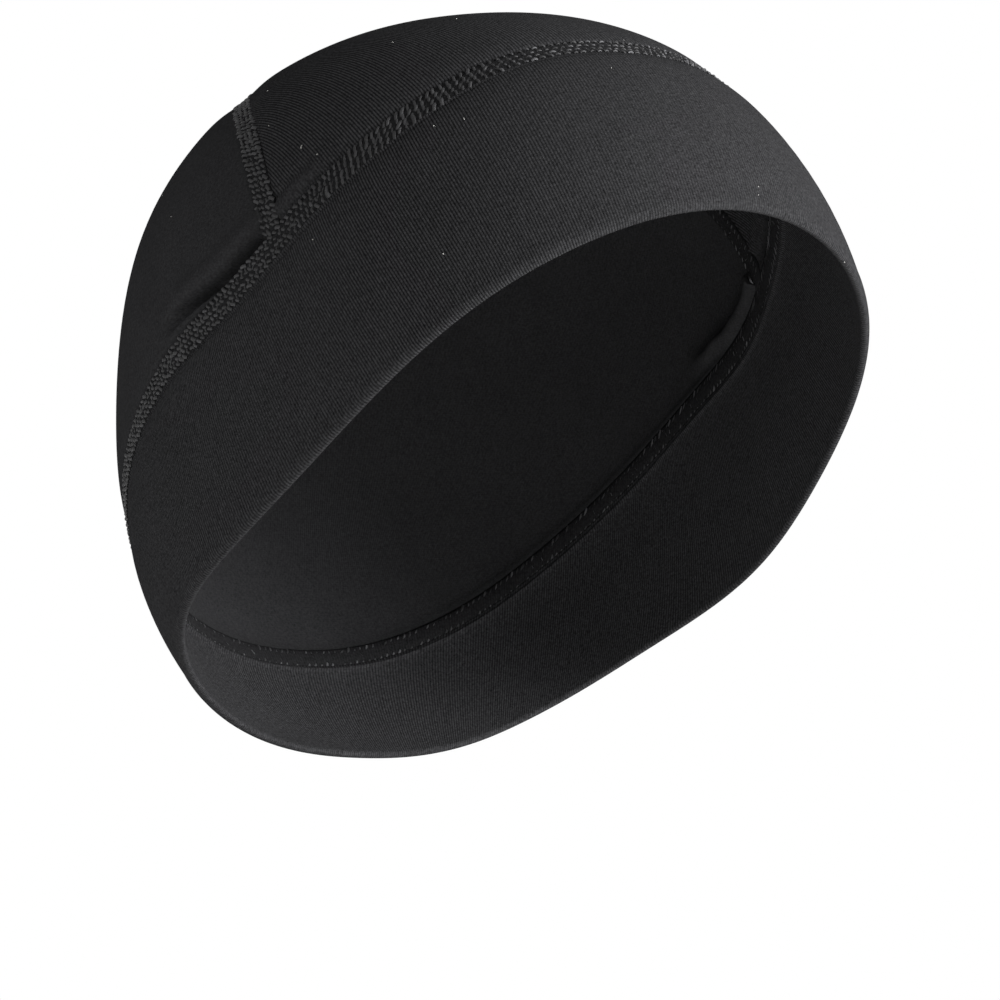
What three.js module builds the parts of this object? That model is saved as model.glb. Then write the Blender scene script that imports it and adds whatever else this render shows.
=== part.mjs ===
// Helmet liner cap: a close stretch cap in three knitted panels, held in the form it has on a head.
// Units are millimetres and +Z is up. The cap faces -Y, and the wearer's left is +X.
// The origin is the inside of the crown at its top, where a head bears on the cap.
// Directions are measured about a centre inside the head: azimuth from the front (-Y) toward +X,
// and polar angle down from the top.
import * as THREE from 'three';

// Driving sizes, in millimetres
const crownWall = 1.2;          // one layer of stretch knit
const bandWall = 2.0;           // the same knit doubled, with its fold at the lower edge
const seamWall = 2.3;           // two fabric edges butted under rows of thread
const seamWidth = 6.2;          // outer row to outer row of stitches
const seamProud = 0.35;         // how far the middle of a seam stands above the cloth beside it
const gap = 0.3;                // left between neighbouring pieces
const crownTop = 81;            // outer surface above the head's centre
const halfLength = 97.5;        // head's centre to the outer surface over the forehead's level
const halfWidth = 71.5;         // head's centre to the outer surface at the sides
const eggShape = 2.4;           // narrows the forehead and fills the back of the head
const bandDepth = 57;           // fold to the middle of the band seam, at the side of the head
const pinchDepth = 0.9;         // how far the cloth is drawn in at a seam
const pinchReach = 5.5;         // how far from the seam's middle the drawing in fades
const earLift = 0.9;            // the band stands out a little where it covers the ear

// Outer radius from the head's centre at each polar angle, in degrees: over the front and the back
// as shares of the half length, and over either side as a share of the half width
const headForm = [
  { angle: 30, front: 0.85, back: 0.88, side: 1.15 },
  { angle: 60, front: 0.91, back: 0.97, side: 1.08 },
  { angle: 90, front: 1.0, back: 1.0, side: 1.0 },
  { angle: 120, front: 1.05, back: 1.05, side: 1.13 },
  { angle: 150, front: 1.07, back: 1.01, side: 1.45 },
];

// Height of the lower edge from the head's centre, from the forehead round to the nape, as shares
// of the crown's height
const edgeHeights = [
  { azimuth: 0, height: 0.265 },
  { azimuth: 30, height: 0.105 },
  { azimuth: 60, height: -0.222 },
  { azimuth: 90, height: -0.488 },
  { azimuth: 120, height: -0.685 },
  { azimuth: 150, height: -0.913 },
  { azimuth: 180, height: -0.975 },
];

// The band narrows toward the nape
const bandHeight = { front: 0.99 * bandDepth, side: bandDepth, back: 0.63 * bandDepth };

// The stretch draws the band seam up over the temples and lets it down over the ears, by these
// shares of the band's depth
const seamSway = [
  { azimuth: 0, rise: -0.018 },
  { azimuth: 15, rise: 0.014 },
  { azimuth: 30, rise: 0.042 },
  { azimuth: 45, rise: 0.035 },
  { azimuth: 60, rise: 0.005 },
  { azimuth: 75, rise: -0.04 },
  { azimuth: 90, rise: -0.077 },
  { azimuth: 105, rise: -0.046 },
  { azimuth: 120, rise: -0.039 },
  { azimuth: 135, rise: -0.028 },
  { azimuth: 150, rise: -0.014 },
  { azimuth: 165, rise: -0.005 },
  { azimuth: 180, rise: 0 },
];

// The crown seam starts on the band seam at this azimuth and leans back from there. It bows away
// from the leaning plane through its two ends.
const archAzimuth = 78.4;       // degrees from the front
const archLean = 61.5;          // degrees up from straight back
const archBow = -0.9 * halfLength;
const archEase = 0.49 * halfLength;

// Facets
const columns = 84;             // round the head
const archSteps = 22;           // from the middle of the crown seam to either end

const RAD = Math.PI / 180;

// Natural cubic spline through (x, y) rows with even steps in x
function naturalSpline(xs, ys) {
  const n = xs.length;
  const bend = new Array(n).fill(0);
  const carry = new Array(n).fill(0);
  const step = xs[1] - xs[0];
  for (let i = 1; i < n - 1; i++) {
    const pivot = 4 - (i > 1 ? carry[i - 1] : 0);
    carry[i] = 1 / pivot;
    const rise = (6 * (ys[i + 1] - 2 * ys[i] + ys[i - 1])) / (step * step);
    bend[i] = (rise - (i > 1 ? bend[i - 1] : 0)) / pivot;
  }
  for (let i = n - 3; i >= 1; i--) bend[i] -= carry[i] * bend[i + 1];
  return (x) => {
    const i = Math.min(n - 2, Math.max(0, Math.floor((x - xs[0]) / step)));
    const t = (x - xs[i]) / step;
    const u = 1 - t;
    const curve = ((t * t * t - t) * bend[i + 1] + (u * u * u - u) * bend[i]) * step * step / 6;
    return u * ys[i] + t * ys[i + 1] + curve;
  };
}

const angles = [
  ...headForm.map((row) => -row.angle).reverse(),
  0,
  ...headForm.map((row) => row.angle),
].map((angle) => angle * RAD);
const overTop = naturalSpline(angles, [
  ...headForm.map((row) => row.front * halfLength).reverse(),
  crownTop,
  ...headForm.map((row) => row.back * halfLength),
]);
const acrossTop = naturalSpline(angles, [
  ...headForm.map((row) => row.side * halfWidth).reverse(),
  crownTop,
  ...headForm.map((row) => row.side * halfWidth),
]);

// The lower edge is the same on both sides, so its rows are mirrored past either end
const edgeRows = [
  ...edgeHeights.slice(1, 4).map((row) => ({ azimuth: -row.azimuth, height: row.height })).reverse(),
  ...edgeHeights,
  ...edgeHeights.slice(3, 6).map((row) => ({ azimuth: 360 - row.azimuth, height: row.height })).reverse(),
];
const edgeLine = naturalSpline(
  edgeRows.map((row) => row.azimuth * RAD),
  edgeRows.map((row) => row.height * crownTop),
);

// A value that has the given amounts at the front, at both sides and at the back
function aroundHead(amounts, azimuth) {
  const c = Math.cos(azimuth);
  const mean = (amounts.front + amounts.back) / 2;
  return amounts.side + ((amounts.front - amounts.back) / 2) * c + (mean - amounts.side) * c * c;
}

// Both sides of the head have the same shares, so the line has no corner over the forehead
const swayBothSides = [
  ...seamSway.slice(1).map((row) => ({ azimuth: -row.azimuth, rise: row.rise })).reverse(),
  ...seamSway,
];

const swayLine = naturalSpline(
  swayBothSides.map((row) => row.azimuth * RAD),
  swayBothSides.map((row) => row.rise * bandDepth),
);

function bandReach(azimuth) {
  const fromFront = Math.abs(Math.atan2(Math.sin(azimuth), Math.cos(azimuth)));
  return aroundHead(bandHeight, azimuth) + swayLine(fromFront);
}

function headRadius(azimuth, polar) {
  const form = { front: overTop(-polar), back: overTop(polar), side: acrossTop(polar) };
  const egg = eggShape * Math.sin(polar) ** 2 * (Math.cos(3 * azimuth) - Math.cos(azimuth));
  return aroundHead(form, azimuth) + egg;
}

// Point on the smooth head form, from the head's centre
function headPoint(azimuth, polar) {
  const r = headRadius(azimuth, polar);
  const flat = r * Math.sin(polar);
  return new THREE.Vector3(flat * Math.sin(azimuth), -flat * Math.cos(azimuth), r * Math.cos(polar));
}

function direction(azimuth, polar) {
  const flat = Math.sin(polar);
  return new THREE.Vector3(flat * Math.sin(azimuth), -flat * Math.cos(azimuth), Math.cos(polar));
}

function anglesOf(vector) {
  const polar = Math.acos(Math.max(-1, Math.min(1, vector.z / vector.length())));
  return { azimuth: Math.atan2(vector.x, -vector.y), polar };
}

function onHead(vector) {
  const at = anglesOf(vector);
  return headPoint(at.azimuth, at.polar);
}

// Outward normal of the head form below a direction, from two short steps along the surface
function headNormal(vector) {
  const dir = vector.clone().normalize();
  const helper = Math.abs(dir.x) < 0.7 ? new THREE.Vector3(1, 0, 0) : new THREE.Vector3(0, 1, 0);
  const u = helper.cross(dir).normalize();
  const v = dir.clone().cross(u);
  const step = 0.01;
  const across = onHead(dir.clone().addScaledVector(u, step)).sub(onHead(dir.clone().addScaledVector(u, -step)));
  const along = onHead(dir.clone().addScaledVector(v, step)).sub(onHead(dir.clone().addScaledVector(v, -step)));
  return across.cross(along).normalize();
}

// Polar angle of the cap's lower edge
function edgePolar(azimuth) {
  const height = edgeLine(Math.abs(Math.atan2(Math.sin(azimuth), Math.cos(azimuth))));
  let low = 5 * RAD;
  let high = 150 * RAD;
  for (let i = 0; i < 40; i++) {
    const middle = (low + high) / 2;
    if (headPoint(azimuth, middle).z > height) low = middle;
    else high = middle;
  }
  return (low + high) / 2;
}

// Polar angle reached after a distance up the cloth from the lower edge
const walkStep = 0.5 * RAD;
function climb(azimuth, distance) {
  let polar = edgePolar(azimuth);
  let here = headPoint(azimuth, polar);
  let walked = 0;
  while (polar > walkStep) {
    const next = headPoint(azimuth, polar - walkStep);
    const length = next.distanceTo(here);
    if (walked + length >= distance) return polar - (walkStep * (distance - walked)) / length;
    walked += length;
    polar -= walkStep;
    here = next;
  }
  return polar;
}

// Distance up the cloth from the lower edge to a polar angle
function climbed(azimuth, target) {
  let polar = edgePolar(azimuth);
  let here = headPoint(azimuth, polar);
  let walked = 0;
  while (polar - walkStep > target) {
    const next = headPoint(azimuth, polar - walkStep);
    walked += next.distanceTo(here);
    polar -= walkStep;
    here = next;
  }
  return walked + headPoint(azimuth, target).distanceTo(here);
}

function bandSeamPolar(azimuth, offset) {
  return climb(azimuth, bandReach(azimuth) + offset);
}

// The crown seam's plane: "back" leans up and to the rear within it, "ahead" is square to it
const archBack = new THREE.Vector3(0, Math.cos(archLean * RAD), Math.sin(archLean * RAD));
const archAhead = new THREE.Vector3(0, -Math.sin(archLean * RAD), Math.cos(archLean * RAD));
const archEnd = headPoint(archAzimuth * RAD, bandSeamPolar(archAzimuth * RAD, 0));
const archLevel = archEnd.dot(archAhead);
const archSpan = Math.atan2(archEnd.x, archEnd.dot(archBack));

function archOffset(turn) {
  const share = (Math.sin(turn) / Math.sin(archSpan)) ** 2;
  return archLevel + archBow * (1 - share) + archEase * (1 - share * share);
}

// Direction to the crown seam at an angle within its plane; offset is the distance ahead of its middle
function archPoint(turn, offset) {
  const slope = (archOffset(turn + 0.01) - archOffset(turn - 0.01)) / (0.02 * crownTop);
  const level = archOffset(turn) + offset * Math.sqrt(1 + slope * slope);
  const ray = archBack.clone().multiplyScalar(Math.cos(turn)).add(new THREE.Vector3(Math.sin(turn), 0, 0));
  let low = 0.05 * crownTop;
  let high = 2 * crownTop;
  for (let i = 0; i < 40; i++) {
    const middle = (low + high) / 2;
    const point = ray.clone().multiplyScalar(middle).addScaledVector(archAhead, level);
    const at = anglesOf(point);
    if (point.length() < headRadius(at.azimuth, at.polar)) low = middle;
    else high = middle;
  }
  return ray.multiplyScalar((low + high) / 2).addScaledVector(archAhead, level);
}

// Angle at which an offset line of the crown seam meets a line beside the band seam
function archEndTurn(offset, beside) {
  let low = 0.5;
  let high = 2.2;
  for (let i = 0; i < 36; i++) {
    const middle = (low + high) / 2;
    const at = anglesOf(archPoint(middle, offset));
    const above = climbed(at.azimuth, at.polar) - bandReach(at.azimuth);
    if (above > beside) low = middle;
    else high = middle;
  }
  return (low + high) / 2;
}

// Middle lines of both seams, for the distance from any place to the nearest seam
const seamLines = [];
for (let i = 0; i < 144; i++) {
  const azimuth = (i / 144) * 2 * Math.PI;
  seamLines.push(headPoint(azimuth, bandSeamPolar(azimuth, 0)));
}
for (let i = -40; i <= 40; i++) seamLines.push(archPoint((archSpan * i) / 40, 0));

function seamDistance(point) {
  let nearest = Infinity;
  for (const other of seamLines) nearest = Math.min(nearest, point.distanceToSquared(other));
  return Math.sqrt(nearest);
}

// The cloth's outer surface: the head form, drawn in at the seams and lifted over the ears
const earDirection = direction(86 * RAD, 112 * RAD);
function clothLift(point) {
  const away = seamDistance(point);
  const pinch = pinchDepth * Math.exp(-((away / pinchReach) ** 2));
  const dir = point.clone().normalize();
  dir.x = Math.abs(dir.x);
  const fromEar = dir.angleTo(earDirection) / (20 * RAD);
  return earLift * Math.exp(-fromEar * fromEar) - pinch;
}

// One place on the cloth: a lift of 0 is the cloth's own outer face
function place(point, lift) {
  const on = onHead(point);
  const normal = headNormal(point);
  return on.addScaledVector(normal, clothLift(on) + lift);
}

const headCentre = new THREE.Vector3(0, 0, crownWall - crownTop);

// Closed solid from points and triangles, turned outward and moved to the part's own frame
function solid(name, points, triangles, look) {
  let volume = 0;
  for (const [a, b, c] of triangles) {
    volume += points[a].dot(points[b].clone().cross(points[c]));
  }
  const faces = volume > 0 ? triangles : triangles.map(([a, b, c]) => [a, c, b]);
  const geometry = new THREE.BufferGeometry();
  const flat = points.flatMap((p) => [p.x + headCentre.x, p.y + headCentre.y, p.z + headCentre.z]);
  geometry.setAttribute('position', new THREE.Float32BufferAttribute(flat, 3));
  geometry.setIndex(faces.flat());
  geometry.computeVertexNormals();
  const material = new THREE.MeshStandardMaterial({ metalness: 0, ...look });
  const mesh = new THREE.Mesh(geometry, material);
  mesh.name = name;
  return mesh;
}

// Section loops joined one after another; an open run of loops is capped at both ends
function loft(name, loops, closed, look) {
  const size = loops[0].length;
  const points = loops.flat();
  const triangles = [];
  const last = closed ? loops.length : loops.length - 1;
  for (let i = 0; i < last; i++) {
    const next = (i + 1) % loops.length;
    for (let j = 0; j < size; j++) {
      const k = (j + 1) % size;
      const [a, b] = [i * size + j, i * size + k];
      const [c, d] = [next * size + j, next * size + k];
      triangles.push([a, c, b], [b, c, d]);
    }
  }
  if (!closed) {
    const end = (loops.length - 1) * size;
    for (let j = 1; j < size - 1; j++) {
      triangles.push([0, j, j + 1], [end, end + j + 1, end + j]);
    }
  }
  return solid(name, points, triangles, look);
}

// A panel from its boundary: rings step from the middle of the panel out to the boundary
const outerRings = [0.14, 0.28, 0.41, 0.53, 0.64, 0.74, 0.83, 0.9, 0.95, 0.98, 1];
const innerRings = [0.34, 0.62, 0.84, 0.94, 1];
function panel(name, middle, boundary, look) {
  const points = [];
  const triangles = [];
  const count = boundary.length;
  const centre = middle.clone().normalize();
  const rims = [outerRings, innerRings].map((rings, side) => {
    const depth = side === 0 ? 0 : -crownWall;
    const add = (a, b, c) => triangles.push(side === 0 ? [a, b, c] : [a, c, b]);
    const hub = points.length;
    points.push(place(centre, depth));
    let inward = null;
    for (const ring of rings) {
      const start = points.length;
      for (const edge of boundary) {
        const rim = edge.clone().normalize();
        const sweep = centre.angleTo(rim);
        const dir = centre.clone().multiplyScalar(Math.sin((1 - ring) * sweep));
        dir.addScaledVector(rim, Math.sin(ring * sweep));
        points.push(place(dir, depth));
      }
      for (let i = 0; i < count; i++) {
        const next = (i + 1) % count;
        if (inward === null) {
          add(hub, start + i, start + next);
        } else {
          add(inward + i, start + i, start + next);
          add(inward + i, start + next, inward + next);
        }
      }
      inward = start;
    }
    return inward;
  });
  const [top, under] = rims;
  for (let i = 0; i < count; i++) {
    const next = (i + 1) % count;
    triangles.push([top + i, under + i, under + next], [top + i, under + next, top + next]);
  }
  return solid(name, points, triangles, look);
}

const azimuths = Array.from({ length: columns }, (_, i) => ((i / columns) * 2 - 1) * Math.PI);

// Band: rows at distances up from the fold and down from the seam, on each face, with the wall
// rounded over at the fold
const outerBand = { fold: [0, 0.3, 1, 5, 14, 25], seam: [12, 6, 2.5, 0] };
const innerBand = { fold: [0.3, 1, 14], seam: [12, 4, 0] };

function bandRows(rows, azimuth, face) {
  const top = bandReach(azimuth) - seamWidth / 2 - gap;
  const heights = [...rows.fold, ...rows.seam.map((below) => top - below)];
  return heights.map((height) => {
    const round = Math.min(1, height / (bandWall / 2));
    const half = (bandWall / 2) * Math.sqrt(1 - (1 - round) ** 2);
    return place(direction(azimuth, climb(azimuth, height)), face * half - bandWall / 2);
  });
}

const bandLoops = azimuths.map((azimuth) => [
  ...bandRows(outerBand, azimuth, 1),
  ...bandRows(innerBand, azimuth, -1).reverse(),
]);

// A seam's section: places across it, with the height of its face above the cloth beside it
const seamSection = [
  { across: -0.5, face: 0.0 },
  { across: -0.38, face: 0.8 },
  { across: 0, face: 1.0 },
  { across: 0.38, face: 0.8 },
  { across: 0.5, face: 0.0 },
];

function seamLoop(dirs) {
  const outer = seamSection.map((row, i) => place(dirs[i], row.face * seamProud));
  const inner = [dirs[dirs.length - 1], dirs[0]].map((dir) => place(dir, seamProud - seamWall));
  return [...outer, ...inner];
}

const bandSeamLoops = azimuths.map((azimuth) => {
  const across = (row) => direction(azimuth, bandSeamPolar(azimuth, row.across * seamWidth));
  return seamLoop(seamSection.map(across));
});

const besideBandSeam = seamWidth / 2 + gap;
const archTurns = seamSection.map((row) => archEndTurn(row.across * seamWidth, besideBandSeam));
const archLoops = [];
for (let i = -archSteps; i <= archSteps; i++) {
  const across = (row, j) => archPoint((archTurns[j] * i) / archSteps, row.across * seamWidth);
  archLoops.push(seamLoop(seamSection.map(across)));
}

// Boundary of a crown panel: along the crown seam, then along the band seam back to the start
function crownBoundary(side) {
  const offset = side * besideBandSeam;
  const turn = archEndTurn(offset, besideBandSeam);
  const line = [];
  for (let i = -archSteps; i <= archSteps; i++) line.push(archPoint((turn * i) / archSteps, offset));
  const corner = anglesOf(line[line.length - 1]).azimuth;
  const between = azimuths.filter((azimuth) => {
    const margin = 1.2 * RAD;
    return side > 0 ? Math.abs(azimuth) < corner - margin : Math.abs(azimuth) > corner + margin;
  });
  const fromLeft = side > 0
    ? between.sort((a, b) => b - a)
    : between.map((a) => (a < 0 ? a + 2 * Math.PI : a)).sort((a, b) => a - b);
  for (const azimuth of fromLeft) {
    line.push(direction(azimuth, bandSeamPolar(azimuth, besideBandSeam)));
  }
  return line;
}

const knit = { color: 0x2a2a2c, roughness: 0.95 };
const doubledKnit = { color: 0x2c2c2d, roughness: 0.95 };
const thread = { color: 0x303032, roughness: 0.85 };

const cap = new THREE.Group();
cap.add(loft('band', bandLoops, true, doubledKnit));
cap.add(loft('band_seam', bandSeamLoops, true, thread));
cap.add(panel('crown_front', new THREE.Vector3(0, 0, 1), crownBoundary(1), knit));
cap.add(panel('crown_back', direction(Math.PI, 76 * RAD), crownBoundary(-1), knit));
cap.add(loft('crown_seam', archLoops, false, thread));

export default cap;
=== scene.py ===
"""Helmet liner cap: a close stretch cap in three knitted panels with flat, four-needle seams.

It is laid out as a Blender add-on and run as a script. Lengths inside the form are millimetres,
measured from a centre inside the head, and meshes are made in metres in the part's own frame.
"""
import math
from functools import lru_cache

import bpy
import numpy as np
from bpy.props import FloatProperty, FloatVectorProperty, PointerProperty
from mathutils import Matrix, Vector
from mathutils.kdtree import KDTree


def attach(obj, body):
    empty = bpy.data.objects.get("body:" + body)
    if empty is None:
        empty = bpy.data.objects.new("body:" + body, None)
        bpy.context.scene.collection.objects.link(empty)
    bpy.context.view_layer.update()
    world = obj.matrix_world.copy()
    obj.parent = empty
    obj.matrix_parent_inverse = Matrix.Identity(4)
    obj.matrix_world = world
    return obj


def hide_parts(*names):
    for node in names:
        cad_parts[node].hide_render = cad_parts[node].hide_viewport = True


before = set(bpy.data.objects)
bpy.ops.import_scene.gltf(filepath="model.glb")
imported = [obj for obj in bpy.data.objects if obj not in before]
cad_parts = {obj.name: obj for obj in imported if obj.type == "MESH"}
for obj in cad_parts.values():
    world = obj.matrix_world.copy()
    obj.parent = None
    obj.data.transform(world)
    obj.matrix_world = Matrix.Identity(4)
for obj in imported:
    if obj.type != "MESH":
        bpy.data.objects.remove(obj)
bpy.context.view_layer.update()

bl_info = {
    "name": "Helmet liner cap",
    "version": (1, 0, 0),
    "blender": (4, 5, 0),
    "location": "3D View > Sidebar > Liner cap",
    "description": "Builds a knitted helmet liner cap with flat seams over its packed solids",
    "category": "Object",
}

RAD = math.pi / 180
MM = 0.001

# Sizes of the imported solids, repeated here because the cloth lies on the same form
CROWN_WALL = 1.2
BAND_WALL = 2.0
SEAM_WALL = 2.3
SEAM_WIDTH = 6.2
SEAM_PROUD = 0.35
CROWN_TOP = 81.0
HALF_LENGTH = 97.5
HALF_WIDTH = 71.5
EGG_SHAPE = 2.4
BAND_DEPTH = 57.0
PINCH_DEPTH = 0.9
PINCH_REACH = 5.5
EAR_LIFT = 0.9
HEAD_ANGLES = (30, 60, 90, 120, 150)
HEAD_FRONT = (0.85, 0.91, 1.0, 1.05, 1.07)
HEAD_BACK = (0.88, 0.97, 1.0, 1.05, 1.01)
HEAD_SIDE = (1.15, 1.08, 1.0, 1.13, 1.45)
EDGE_HEIGHTS = (0.265, 0.105, -0.222, -0.488, -0.685, -0.913, -0.975)
BAND_FRONT = 0.99 * BAND_DEPTH
BAND_BACK = 0.63 * BAND_DEPTH
SEAM_SWAY = (-0.018, 0.014, 0.042, 0.035, 0.005, -0.04, -0.077, -0.046, -0.039, -0.028, -0.014, -0.005, 0.0)
ARCH_AZIMUTH = 78.4 * RAD
ARCH_LEAN = 61.5 * RAD
ARCH_BOW = -0.9 * HALF_LENGTH
ARCH_EASE = 0.49 * HALF_LENGTH
HEAD_CENTRE = np.array([0.0, 0.0, CROWN_WALL - CROWN_TOP])

# How far a panel's edge runs in under the stitches
TUCK = 0.9

# The crown seam as sewn: its width, and how far it lies ahead of the solid's middle line
ARCH_WIDTH = 4.9
ARCH_AHEAD_BY = -0.9

# The band seam every 15 degrees from the front round to the back: where the cap is stretched most
# the seam is drawn narrower and its stitches longer
SEAM_SPREAD = (1.1, 1.08, 1.02, 1.12, 1.26, 1.24, 1.17, 1.02, 1.0, 1.0, 1.0, 1.0, 1.0)
STITCH_SPREAD = (1.06, 1.1, 1.12, 1.06, 0.95, 0.9, 0.9, 0.9, 0.92, 0.95, 0.97, 1.0, 1.0)


def linear(code):
    """Linear colour of an sRGB hex code."""
    values = [int(code[i : i + 2], 16) / 255 for i in (1, 3, 5)]
    return tuple(v / 12.92 if v <= 0.04045 else ((v + 0.055) / 1.055) ** 2.4 for v in values)


# The head form


def natural_spline(xs, ys):
    """Natural cubic spline through rows with even steps in x."""
    xs = np.asarray(xs, float)
    ys = np.asarray(ys, float)
    n = len(xs)
    step = xs[1] - xs[0]
    system = np.eye(n)
    rises = np.zeros(n)
    for i in range(1, n - 1):
        system[i, i - 1 : i + 2] = 1, 4, 1
        rises[i] = 6 * (ys[i + 1] - 2 * ys[i] + ys[i - 1]) / step**2
    bend = np.linalg.solve(system, rises)

    def at(x):
        i = np.clip(np.floor((x - xs[0]) / step).astype(int), 0, n - 2)
        t = (x - xs[i]) / step
        u = 1 - t
        curve = ((t**3 - t) * bend[i + 1] + (u**3 - u) * bend[i]) * step**2 / 6
        return u * ys[i] + t * ys[i + 1] + curve

    return at


def over_head(first, last, size):
    """Radius by the polar angle, down from the crown on one side and on the other."""
    angles = [-a * RAD for a in HEAD_ANGLES[::-1]] + [0.0] + [a * RAD for a in HEAD_ANGLES]
    return natural_spline(angles, [s * size for s in first[::-1]] + [CROWN_TOP] + [s * size for s in last])


OVER_TOP = over_head(HEAD_FRONT, HEAD_BACK, HALF_LENGTH)
ACROSS_TOP = over_head(HEAD_SIDE, HEAD_SIDE, HALF_WIDTH)
EDGE_LINE = natural_spline(
    [i * 30 * RAD for i in range(-3, 10)],
    [h * CROWN_TOP for h in EDGE_HEIGHTS[3:0:-1] + EDGE_HEIGHTS + EDGE_HEIGHTS[5:2:-1]],
)


def around_head(front, side, back, azimuth):
    c = np.cos(azimuth)
    return side + (front - back) / 2 * c + ((front + back) / 2 - side) * c * c


def head_radius(azimuth, polar):
    form = around_head(OVER_TOP(-polar), ACROSS_TOP(polar), OVER_TOP(polar), azimuth)
    return form + EGG_SHAPE * np.sin(polar) ** 2 * (np.cos(3 * azimuth) - np.cos(azimuth))


def direction(azimuth, polar):
    azimuth, polar = np.broadcast_arrays(azimuth, polar)
    flat = np.sin(polar)
    return np.stack([flat * np.sin(azimuth), -flat * np.cos(azimuth), np.cos(polar)], axis=-1)


def head_point(azimuth, polar):
    return direction(azimuth, polar) * head_radius(azimuth, polar)[..., None]


def unit(vectors):
    return vectors / np.linalg.norm(vectors, axis=-1, keepdims=True)


def angles_of(vectors):
    way = unit(vectors)
    return np.arctan2(way[..., 0], -way[..., 1]), np.arccos(np.clip(way[..., 2], -1, 1))


def on_head(vectors):
    return head_point(*angles_of(vectors))


def head_normal(vectors):
    """Outward normals, from two short steps along the surface."""
    way = unit(vectors)
    helper = np.where(np.abs(way[..., :1]) < 0.7, [1.0, 0.0, 0.0], [0.0, 1.0, 0.0])
    u = unit(np.cross(helper, way))
    v = np.cross(way, u)
    step = 0.01
    across = on_head(way + u * step) - on_head(way - u * step)
    along = on_head(way + v * step) - on_head(way - v * step)
    return unit(np.cross(across, along))


def from_front(azimuth):
    """Angle round the head from the middle of the front, alike on both sides."""
    return np.abs(np.arctan2(np.sin(azimuth), np.cos(azimuth)))


def full_turn(count):
    return np.linspace(-math.pi, math.pi, count, endpoint=False)


def halved(low, high, is_short):
    """Where a test that holds at low stops holding on the way to high."""
    for _ in range(40):
        middle = (low + high) / 2
        short = is_short(middle)
        low = np.where(short, middle, low)
        high = np.where(short, high, middle)
    return (low + high) / 2


def edge_polar(azimuth):
    """Polar angle of the cap's lower edge."""
    height = EDGE_LINE(from_front(azimuth))
    low, high = (np.full(azimuth.shape, degrees * RAD) for degrees in (5, 150))
    return halved(low, high, lambda polar: head_point(azimuth, polar)[..., 2] > height)


def climb(azimuth, distance):
    """Polar angle reached after a distance up the cloth from the lower edge."""
    azimuth, distance = np.broadcast_arrays(azimuth, distance)
    step = 0.5 * RAD
    polar = edge_polar(azimuth)
    reached = polar.copy()
    here = head_point(azimuth, polar)
    walked = np.zeros(azimuth.shape)
    going = distance > 0
    while going.any():
        there = head_point(azimuth, polar - step)
        length = np.linalg.norm(there - here, axis=-1)
        stops = going & (walked + length >= distance)
        reached = np.where(stops, polar - step * (distance - walked) / length, reached)
        going = going & ~stops
        walked, polar, here = walked + length, polar - step, there
    return reached


def climbed(azimuth, target):
    """Distance up the cloth from the lower edge to a polar angle."""
    start = edge_polar(azimuth)
    shares = np.linspace(0, 1, 81)
    path = head_point(azimuth[..., None], start[..., None] + (target - start)[..., None] * shares)
    return np.linalg.norm(np.diff(path, axis=-2), axis=-1).sum(axis=-1)


def all_round(shares):
    """Smooth line through shares that stand every 15 degrees, alike on both sides of the head."""
    azimuths = [k * 15 * RAD for k in range(1 - len(shares), len(shares))]
    return natural_spline(azimuths, list(shares[:0:-1]) + list(shares))


SWAY_LINE = all_round(SEAM_SWAY)
SPREAD_LINE = all_round(SEAM_SPREAD)
STITCH_LINE = all_round(STITCH_SPREAD)


def band_height(azimuth):
    """Distance up the cloth from the lower edge to the middle of the band seam."""
    sway = BAND_DEPTH * SWAY_LINE(from_front(azimuth))
    return around_head(BAND_FRONT, BAND_DEPTH, BAND_BACK, azimuth) + sway


def band_half(azimuth):
    """Half the width of the band seam."""
    return SEAM_WIDTH / 2 * SPREAD_LINE(from_front(azimuth))


def beside_band_seam(azimuth, offset):
    return direction(azimuth, climb(azimuth, band_height(azimuth) + offset))


# The crown seam, which bows out of a leaning plane
ARCH_BACK = np.array([0.0, math.cos(ARCH_LEAN), math.sin(ARCH_LEAN)])
ARCH_AHEAD = np.array([0.0, -math.sin(ARCH_LEAN), math.cos(ARCH_LEAN)])
ARCH_END = on_head(beside_band_seam(np.array([ARCH_AZIMUTH]), 0.0))[0]
ARCH_LEVEL = float(ARCH_END @ ARCH_AHEAD)
ARCH_SPAN = math.atan2(ARCH_END[0], float(ARCH_END @ ARCH_BACK))


def arch_level(turn):
    share = (np.sin(turn) / math.sin(ARCH_SPAN)) ** 2
    return ARCH_LEVEL + ARCH_BOW * (1 - share) + ARCH_EASE * (1 - share * share)


def arch_point(turn, offset):
    """Place on the head by an angle along the crown seam and a distance ahead of its middle."""
    turn, offset = np.broadcast_arrays(np.asarray(turn, float), np.asarray(offset, float))
    slope = (arch_level(turn + 0.01) - arch_level(turn - 0.01)) / (0.02 * CROWN_TOP)
    ahead = arch_level(turn) + (offset + ARCH_AHEAD_BY) * np.sqrt(1 + slope * slope)
    level = ahead[..., None] * ARCH_AHEAD
    ray = np.cos(turn)[..., None] * ARCH_BACK + np.sin(turn)[..., None] * np.array([1.0, 0.0, 0.0])

    def inside(reach):
        place = ray * reach[..., None] + level
        return np.linalg.norm(place, axis=-1) < head_radius(*angles_of(place))

    low, high = (np.full(turn.shape, share * CROWN_TOP) for share in (0.05, 2))
    return ray * halved(low, high, inside)[..., None] + level


@lru_cache
def arch_end(offset, beside):
    """Angle at which an offset line of the crown seam meets a line beside the band seam's edge."""

    def above(turn):
        azimuth, polar = angles_of(arch_point(np.array([turn]), offset))
        return (climbed(azimuth, polar) - band_height(azimuth) - band_half(azimuth) > beside)[0]

    return halved(np.array(0.5), np.array(2.2), above)


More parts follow.
